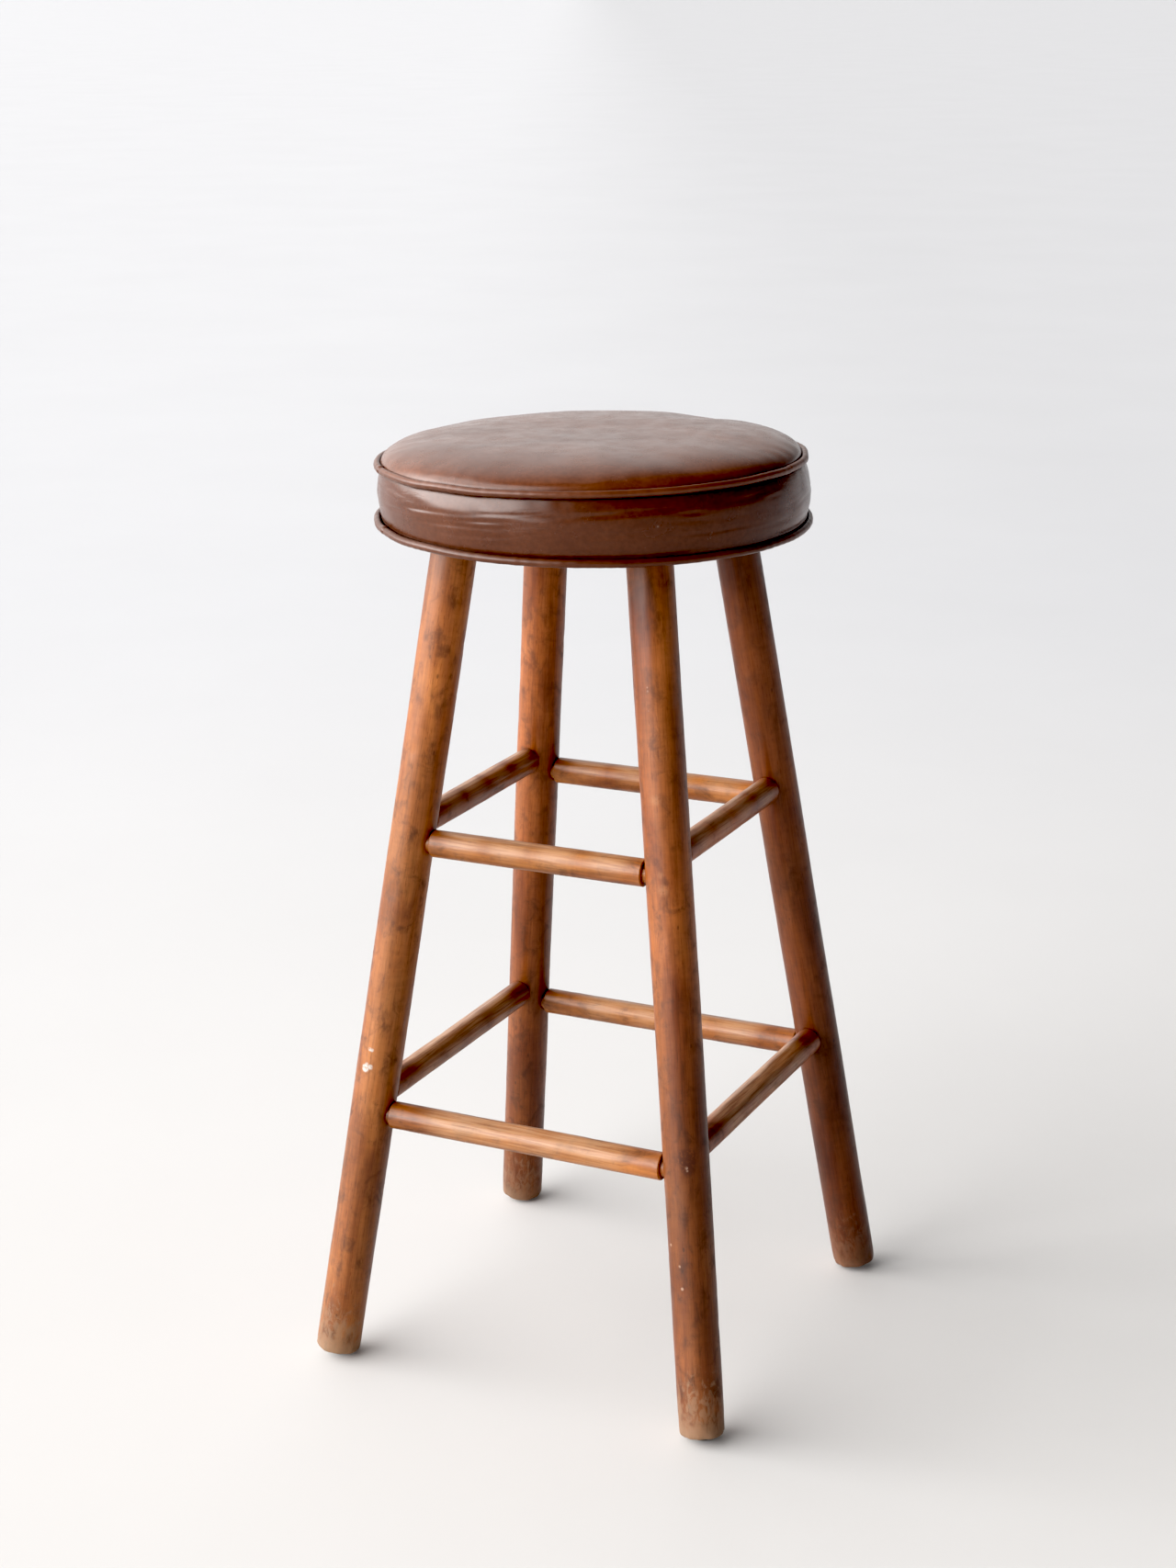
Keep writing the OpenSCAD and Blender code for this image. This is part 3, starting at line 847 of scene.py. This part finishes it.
def crown_mesh():
    """The crown seen from above: points, from the rim inwards, and quads. The middle is a
    square block, so that no cells crowd together there."""
    radii = crown_radii()
    angle = math.pi / 4 + circle(COLUMNS)
    ring = np.stack([np.cos(angle), np.sin(angle)], 1)
    flat = np.concatenate([ring * r for r in radii])
    faces = ring_faces(len(radii), COLUMNS)
    edge = (len(radii) - 1) * COLUMNS
    grid = -np.ones((BLOCK + 1, BLOCK + 1), int)
    for j in range(COLUMNS):
        side, k = divmod(j, BLOCK)
        p, q = ((BLOCK - k, BLOCK), (0, BLOCK - k), (k, 0), (BLOCK, k))[side]
        grid[p, q] = edge + j
    inner = []
    for p in range(1, BLOCK):
        for q in range(1, BLOCK):
            grid[p, q] = len(flat) + len(inner)
            inner.append((p / BLOCK * 2 - 1, q / BLOCK * 2 - 1))
    flat = np.concatenate([flat, np.array(inner) * radii[-1] * 0.75])
    for p in range(BLOCK):
        for q in range(BLOCK):
            faces.append((grid[p, q], grid[p + 1, q], grid[p + 1, q + 1], grid[p, q + 1]))
    pairs = np.array([(f[i], f[(i + 1) % 4]) for f in faces for i in range(4)])
    pairs = np.unique(np.sort(pairs, 1), axis=0)
    return smoothed(flat, pairs, np.hypot(*flat.T) > HELD_R, 1.0, EVEN_ROUNDS), faces


def band_profile():
    """Rings (radius, height) from the crown's rim down the band, round the hem and over the
    board; which of them are free to swell; and which are sharp corners."""
    top_r = BAND_TOP_R - 1.0
    rows = [(RIM_R, TOP_WELT_Z - 1.6), (RIM_R, BAND_END_Z + 0.6),
            (top_r - 0.2, BAND_END_Z + 0.3), (top_r, BAND_END_Z - 0.2)]
    for t in np.linspace(0.03, 1, BAND_ROWS):
        z = BAND_END_Z + (BAND_START_Z - BAND_END_Z) * t
        r = top_r + (BAND_R - top_r) * t + START_BULGE * max(0, math.sin(math.pi * t)) ** 0.75
        rows.append((r, z))
    free_rows = range(6, len(rows) - 2)
    rows += [(BAND_R, (BAND_START_Z + HEM_Z) / 2), (BAND_R, HEM_Z)]
    hem_corner = len(rows) - 1
    rows += [(r, HEM_Z) for r in (*HEM_RADII, HEM_R)]
    rows += [(r, HEM_Z + VINYL_T) for r in (HEM_R, *reversed(HEM_RADII), BOARD_R + BAND_ROOM)]
    inner_corner = len(rows) - 1
    rows += [(BOARD_R + BAND_ROOM, z) for z in (*WALL_HEIGHTS, FOAM_Z)]
    rows += [(r, FOAM_Z) for r in FOAM_RADII]
    creased = [hem_corner, hem_corner + 4, hem_corner + 5, inner_corner, inner_corner + 3]
    return rows, free_rows, creased


def make_cushion():
    """The cushion's cover as one closed form, swollen by simulation and then subdivided."""
    flat, faces = crown_mesh()
    crown = np.column_stack([flat, crown_height(np.hypot(*flat.T))])
    rows, free_rows, creased = band_profile()
    ring = crown[:COLUMNS, :2] / RIM_R
    below = np.concatenate([np.column_stack([ring * r, np.full(COLUMNS, h)]) for r, h in rows])
    points = np.concatenate([crown, below, [[0, 0, FOAM_Z]]])
    base = len(crown)
    for i in range(len(rows)):
        a = base + (i - 1) * COLUMNS if i else 0
        b = base + i * COLUMNS
        for j in range(COLUMNS):
            k = (j + 1) % COLUMNS
            faces.append((a + k, a + j, b + j, b + k))
    last, pole = base + (len(rows) - 1) * COLUMNS, len(points) - 1
    faces += [(last + (j + 1) % COLUMNS, last + j, pole) for j in range(COLUMNS)]
    obj = make_object("seat_cushion", points, [tuple(int(v) for v in f) for f in faces])

    free = np.zeros(len(points), bool)
    free[COLUMNS:base] = True
    for i in free_rows:
        free[base + i * COLUMNS : base + (i + 1) * COLUMNS] = True
    inflate(obj, free)

    crease = obj.data.attributes.new("crease_edge", "FLOAT", "EDGE")
    rings = {base + i * COLUMNS for i in creased}
    for edge in obj.data.edges:
        a, b = sorted(edge.vertices)
        start = base + (a - base) // COLUMNS * COLUMNS
        if a >= base and start in rings and b < start + COLUMNS:
            crease.data[edge.index].value = 1.0
    subdivide = obj.modifiers.new("round", "SUBSURF")
    subdivide.levels = subdivide.render_levels = 1
    bake_modifiers(obj)
    return obj


def inflate(obj, free):
    """Swells the cover with Cloth pressure between its welts, which are pinned."""
    start = get_points(obj)
    group = obj.vertex_groups.new(name="pinned")
    group.add([int(i) for i in np.flatnonzero(~free)], 1.0, "REPLACE")
    group.add([int(i) for i in np.flatnonzero(free)], FOAM_HOLD, "REPLACE")
    cloth = obj.modifiers.new("cloth", "CLOTH")
    s = cloth.settings
    s.quality, s.mass = 5, 0.25
    s.tension_stiffness = s.compression_stiffness = 80
    s.shear_stiffness, s.bending_stiffness = 40, 5.0
    s.tension_damping = s.compression_damping = s.shear_damping = 8
    s.use_pressure, s.uniform_pressure_force = True, PRESSURE
    s.shrink_min = s.shrink_max = 0.0
    s.pin_stiffness = 1.0
    s.effector_weights.gravity = 0
    s.vertex_group_mass = "pinned"
    cloth.point_cache.frame_start, cloth.point_cache.frame_end = 1, FRAMES
    for number in range(1, FRAMES + 1):
        scene.frame_set(number)
    graph = bpy.context.evaluated_depsgraph_get()
    swollen = obj.evaluated_get(graph)
    co = np.empty(len(start) * 3)
    swollen.data.vertices.foreach_get("co", co)
    moved = co.reshape(-1, 3) / MM - start
    # the foam under it lets only broad swells through
    pairs = np.array([edge.vertices[:] for edge in obj.data.edges])
    moved = smoothed(moved, pairs, ~free, 0.5, SOFTEN)
    far = np.linalg.norm(moved, axis=1, keepdims=True)
    moved *= np.minimum(1, MOST_SWELL / np.maximum(far, 1e-9))
    obj.modifiers.remove(cloth)
    scene.frame_set(1)
    set_points(obj, start + moved)


def slip(points, upper):
    """Where the slipped cover takes points; upper is 0 at the lower welt and 1 at the upper."""
    across = points[:, :2] @ TALL_SIDE / BAND_R
    near = points[:, :2] @ NEAR_SIDE / BAND_R
    moved = points.copy()
    moved[:, 2] += (LOW_LEAN + (TOP_LEAN - LOW_LEAN) * upper) * across
    moved[:, 2] += (LOW_NEAR + (TOP_NEAR - LOW_NEAR) * upper) * near + LOW_DROP * (1 - upper)
    moved[:, :2] += (TOP_SHIFT * upper)[:, None] * TALL_SIDE + COVER_SHIFT
    return moved


def clear_of_board(points):
    """Pushes points of the slipped cover out to just beyond the board's edge."""
    r = np.hypot(points[:, 0], points[:, 1])
    scale = np.maximum(1, (BOARD_R + BOARD_ROOM) / r.clip(1))[:, None]
    return np.column_stack([points[:, :2] * scale, points[:, 2]])


def dress_cushion(obj):
    """Adds what the upholstery shows: lumps, dents, drag lines, creases and the band's seam.
    Then it lets the cover slip."""
    points = get_points(obj)
    x, y, z = points.T
    r, angle = np.hypot(x, y), np.arctan2(y, x)
    along = angle * PANEL_R

    # the crown: broad lumps, two dents, and short pulls beside the welt
    crown = (z > TOP_WELT_Z - 0.5) & (r < PANEL_R + 0.5)
    u = np.clip(r / PANEL_R, 0, 1)
    calm = 1 - smoothstep(0.90, 1.0, u)
    lumps = 0.30 * ripple(points[:, :2], 95, 5) + 0.06 * ripple(points[:, :2], 38, 6)
    dip = -2.6 * np.exp(-((x - DIP[0]) ** 2 + (y - DIP[1]) ** 2) / DIP_R**2)
    sat = -1.2 * np.exp(-((x - SAT[0]) ** 2 + (y - SAT[1]) ** 2) / SAT_R**2)
    pull = 0.14 * np.sin(along / 4.1 + 2.2 * np.sin(along / 23)) * np.sin(along / 61 + 1)
    pull *= smoothstep(0.86, 0.97, u) * (1 - smoothstep(0.985, 1.0, u))
    points[:, 2] += np.where(crown, calm * (lumps + dip + sat) + pull, 0)

    # the band: out is how far each point moves outwards, and held is 0 at the two welts
    outside = (r > BAND_R - 2.5) & (z < BAND_END_Z + 0.5) & (z > BAND_START_Z - 0.5)
    tall = BAND_END_Z - BAND_START_Z
    t = np.clip((z - BAND_START_Z) / tall, 0, 1)
    held = np.sin(math.pi * t) ** 0.5
    wrap = np.stack([along, z * 2.0], 1)
    out = 0.45 * ripple(wrap, 150, 7) * held + 0.12 * ripple(wrap, 36, 8) * held
    rng = np.random.default_rng(9)
    for _ in range(DRAG_LINES):
        # long shallow creases that run round the band
        a, height = rng.uniform(-math.pi, math.pi), rng.uniform(0.12, 0.88)
        length, width = rng.uniform(10, 42), rng.uniform(1.0, 2.2)
        slope, deep = rng.normal(0, 0.05), rng.uniform(0.10, 0.34)
        off = wrapped(angle, a) * BAND_R
        line = z - (BAND_START_Z + height * tall) - slope * off
        line -= 0.8 * np.sin(off / 17.0 + a)
        out -= deep * hump(line, width, off, length)
    for a, height, length, deep in BAND_CREASES:
        off = wrapped(angle, math.radians(a)) * BAND_R
        line = z - (BAND_START_Z + height * tall) - 0.9 * np.sin(off / 19.0)
        out -= deep * hump(line, 1.5, off, length)
        out += 0.6 * deep * hump(line + 2.6, 1.8, off, length)
    gather = 0.22 * np.sin(along / 3.6 + 1.7 * np.sin(along / 31))
    gather *= ripple(along[:, None], 120, 10)
    out += gather * (hump((1 - t) * 41, 5) + hump(t * 41, 5)) * held
    seam = wrapped(angle, math.radians(BAND_SEAM)) * BAND_R
    out += 0.5 * hump(np.abs(seam) - 2.2, 1.6) - 0.9 * hump(seam, 1.0)
    out = out * held**0.3 + BAND_LEAN * held * (points[:, :2] @ TALL_SIDE) / r.clip(1)
    out = np.where(outside, out, 0)
    points[:, 0] += out * x / r.clip(1)
    points[:, 1] += out * y / r.clip(1)

    # the slip: share is 1 on the cover and 0 on what lies on the board
    upper = smoothstep(BAND_START_Z, BAND_END_Z, points[:, 2])
    moved = slip(points, upper)
    share = np.where(r > BAND_R - 3, smoothstep(HEM_Z + 0.5, BAND_START_Z, points[:, 2]), upper)
    share = np.where(points[:, 2] > TOP_WELT_Z - 4, 1, share)
    inside = (z < FOAM_Z + 1) & (r < BAND_R - 0.6)
    share = np.where(inside, 0, share)[:, None]
    moved = points + (moved - points) * share
    wall = (r > BAND_R - 0.5) & (z > HEM_Z + 0.5) & (z < FOAM_Z)
    set_points(obj, np.where(wall[:, None], clear_of_board(moved), moved))


def welt_tube(angle, joint, seed, centre_r, centre_z, sides):
    """Rings of points round the seat, one for each of a welt's sides. The welt is thicker
    where its ends lap, and nipped in beside that."""
    along = angle * centre_r
    off = wrapped(angle, math.radians(joint)) * centre_r
    lap = np.where(off < 0, hump(off, 6.0), hump(off, 0.9))
    nip = hump(off - 2.4, 1.5)
    radius = WELT_R * (1 + 0.018 * ripple(along[:, None], 11, seed)) + 0.42 * lap - 0.55 * nip
    stitched = np.sin(along / 1.9 + np.sin(along / 13))
    radius += 0.05 * stitched * ripple(along[:, None], 70, seed + 1)
    r = centre_r + 0.16 * ripple(along[:, None], 60, seed + 2) - 0.3 * nip
    z = centre_z + 0.14 * ripple(along[:, None], 80, seed + 3) + 0.35 * lap
    rings = []
    for a in sides:
        rings.append(polar(r + radius * math.cos(a), angle, z + radius * math.sin(a)))
    return rings


def make_top_welt():
    count, sides = TOP_WELT_COLUMNS, circle(16)
    rings = welt_tube(circle(count), TOP_JOINT, 31, TOP_WELT_R, TOP_WELT_Z, sides)
    points = slip(np.concatenate(rings), np.ones(count * len(sides)))
    obj = make_object("upper_welt", points, ring_faces(len(sides), count, True), sharp=70)
    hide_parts("top_welt_cover", "top_welt_cord")
    return obj


def make_low_welt():
    """The lower welt with its flange, which is stapled up under the board."""
    count = LOW_WELT_COLUMNS
    angle = circle(count)
    sides = np.radians(np.linspace(-80, 212, 15))
    tube = welt_tube(angle, LOW_JOINT, 41, LOW_WELT_R, LOW_WELT_Z, sides)
    pleat = 0.5 - 0.5 * np.cos(angle * STAPLES)
    pleat = 0.55 * pleat * (0.55 + 0.45 * ripple(angle[:, None] * 30, 9, 51))
    # (radius, share of the pleats' depth) of the flange's rings, from its free edge outwards
    under = [(HEM_R + 4, 1.0), (STAPLE_R - 4, 1.0), (STAPLE_R, 0.9), (STAPLE_R + 5, 0.6),
             (LOW_WELT_R - 6, 0.25), (LOW_WELT_R - 2.2, 0.0)]
    over = [(BAND_R - 0.8, 0.1), *reversed(under[:-1])]

    def flange(rows, z):
        made = []
        for r, share in rows:
            edge = r + (0.5 * ripple(angle[:, None] * 40, 8, 52) if r < HEM_R + 5 else 0)
            made.append(polar(edge, angle, z - pleat * share))
        return made

    leaning = [clear_of_board(slip(ring, np.zeros(count))) for ring in tube]
    above = flange(over, FLANGE_Z + VINYL_T - 0.1)
    points = np.concatenate(flange(under, FLANGE_Z) + leaning + above)
    rows = len(under) + len(tube) + len(over)
    obj = make_object("lower_welt", points, ring_faces(rows, count, True), sharp=50)
    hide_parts("bottom_welt_cover", "bottom_welt_cord")
    return obj


cushion = make_cushion()
dress_cushion(cushion)
shade(cushion, 60)
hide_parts("foam_pad", "crown_wadding", "top_panel", "side_band")
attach(cushion, "root")


def on_band(degrees, share):
    """A point on the bulged band, share of the way up it."""
    a, r = math.radians(degrees), BAND_R + 3.5
    return (r * math.cos(a), r * math.sin(a), BAND_START_Z + share * (BAND_END_Z - BAND_START_Z))


# two small pale scratches
BAND_MARKS = [
    (on_band(311.6, 0.52), 0.9, 0.7, (0.42, 0.34, 0.30), 0.8),
    (on_band(313.0, 0.50), 0.6, 0.6, (0.36, 0.28, 0.24), 0.6),
]
paint(cushion, vinyl("grained_vinyl", painted_shade_below=0.36, marks=BAND_MARKS))
for welt in (make_top_welt(), make_low_welt()):
    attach(welt, "root")
    paint(welt, vinyl("grained_vinyl_" + welt.name, creases=False, dull=0.10, painted_shade_below=0.34))

repaint("seat_board", plywood())
repaint("hem_staples", steel("galvanised_wire", (0.55, 0.55, 0.56), (0.20, 0.15, 0.11), 0.35, 0.3))
glide_metal = steel("dirty_glide", (0.20, 0.19, 0.18), (0.045, 0.038, 0.032), 0.75, 0.42)
for corner in CORNERS:
    repaint("glide_" + corner, glide_metal)


# ---- stage, light, camera

LEFT = Vector((*-TALL_SIDE, 0.0))  # to the camera's left
TOWARDS = Vector((*NEAR_SIDE, 0.0))  # from the stool towards the camera
WINDOW_SIDE = LEFT * 0.97 + TOWARDS * 0.24
FLOOR_HALF = 400000  # millimetres
FLOOR_NEAR, FLOOR_FAR = (0.735, 0.728, 0.718), (0.672, 0.680, 0.700)
ROOM_LIGHT, WINDOW_LIGHT, PANE_LIGHT, HORIZON_LIGHT = 0.81, 4.3, 5.6, 0.85
LIGHT_COLOUR = (1.0, 0.985, 0.975, 1)
CAMERA_AT = (0.9542, -1.9424, 1.1294)
CAMERA_TURN = (26.399, 16.782, -0.648)  # heading, downward pitch and roll, in degrees
SENSOR_WIDTH, LENS = 36.0, 63.0
BLACK_LEVEL = (0.035, 0.035, 0.033)

floor = make_object(
    "floor",
    [(x * FLOOR_HALF, y * FLOOR_HALF, 0) for x, y in ((-1, -1), (1, -1), (1, 1), (-1, 1))],
    [(0, 1, 2, 3)],
)
paper = Shader("pale_floor")
spot = paper.place()
cloudy = paper.noise(spot, 1.7, 4, 0.6)
far = paper.dot(spot, -TOWARDS)
left = paper.dot(spot, LEFT)
tint = paper.mix(paper.span(far, -0.6, 3.0), FLOOR_NEAR, FLOOR_FAR)
# painted shade: the floor is darker towards the camera's right, away from the window
tint = paper.vary(tint, paper.span(left, -1.3, 0.9), (0.0, 0.86), (1.0, 1.0))
tint = paper.vary(tint, cloudy, (0.3, 0.975), (0.7, 1.0))
paint(floor, paper.finish(Base_Color=tint, Roughness=0.75))

world = bpy.data.worlds.new("studio")
scene.world = world
world.use_nodes = True
sky = Shader("studio", world.node_tree)
direction = sky.node("TexCoord", {}, "Generated")
rise = sky.along_z(direction)


def facing(vector):
    """Cosine between a direction's horizontal part and vector."""
    dot = sky.dot(direction, vector)
    flat = sky.math("SQRT", sky.math("SUBTRACT", 1.0, sky.times(rise, rise)))
    return sky.math("DIVIDE", dot, sky.math("MAXIMUM", flat, 0.02))


# A pale room that is brightest behind the stool and on the left, with a darker ceiling. On
# the left is a broad soft window, brightest low down, and a pale strip hides the horizon
height_light = sky.ramp(rise, (0.0, 1.0), (0.75, 1.0), (0.89, 0.66), (1.0, 0.66))
side_light = sky.span(facing(LEFT), -0.9, 0.7, 0.11, 1.0)
front_light = sky.span(facing(TOWARDS), -0.9, 0.6, 1.96, 0.42)
room = sky.times(sky.times(height_light, side_light), front_light)
window = sky.times(
    sky.span(facing(WINDOW_SIDE), 0.50, 0.88),
    sky.times(sky.span(rise, 0.0, 0.10), sky.span(rise, 0.72, 0.86, 1.0, 0.0)),
)
pane = sky.times(
    sky.span(facing(WINDOW_SIDE), 0.66, 0.98),
    sky.times(sky.span(rise, 0.02, 0.12), sky.span(rise, 0.36, 0.50, 1.0, 0.0)),
)
horizon = sky.span(rise, 0.02, 0.16, HORIZON_LIGHT, 0.0)
total = sky.math("MAXIMUM", sky.times(room, ROOM_LIGHT), horizon)
total = sky.plus(total, sky.times(window, WINDOW_LIGHT))
total = sky.plus(total, sky.times(pane, PANE_LIGHT))
background = world.node_tree.nodes["Background"]
background.inputs["Color"].default_value = LIGHT_COLOUR
sky.put(background.inputs["Strength"], total)

camera_data = bpy.data.cameras.new("camera")
camera_data.sensor_width, camera_data.lens = SENSOR_WIDTH, LENS
camera_data.clip_start, camera_data.clip_end = 0.05, 2000
camera = bpy.data.objects.new("camera", camera_data)
scene.collection.objects.link(camera)
heading, pitch, roll = (math.radians(degrees) for degrees in CAMERA_TURN)
camera.matrix_world = (
    Matrix.Translation(CAMERA_AT)
    @ Matrix.Rotation(heading, 4, "Z")
    @ Matrix.Rotation(math.pi / 2 - pitch, 4, "X")
    @ Matrix.Rotation(roll, 4, "Z")
)
scene.camera = camera
# Standard colours, with the black point of a contrasty product photograph
scene.view_settings.view_transform = "Standard"
scene.view_settings.use_curve_mapping = True
scene.view_settings.curve_mapping.black_level = BLACK_LEVEL
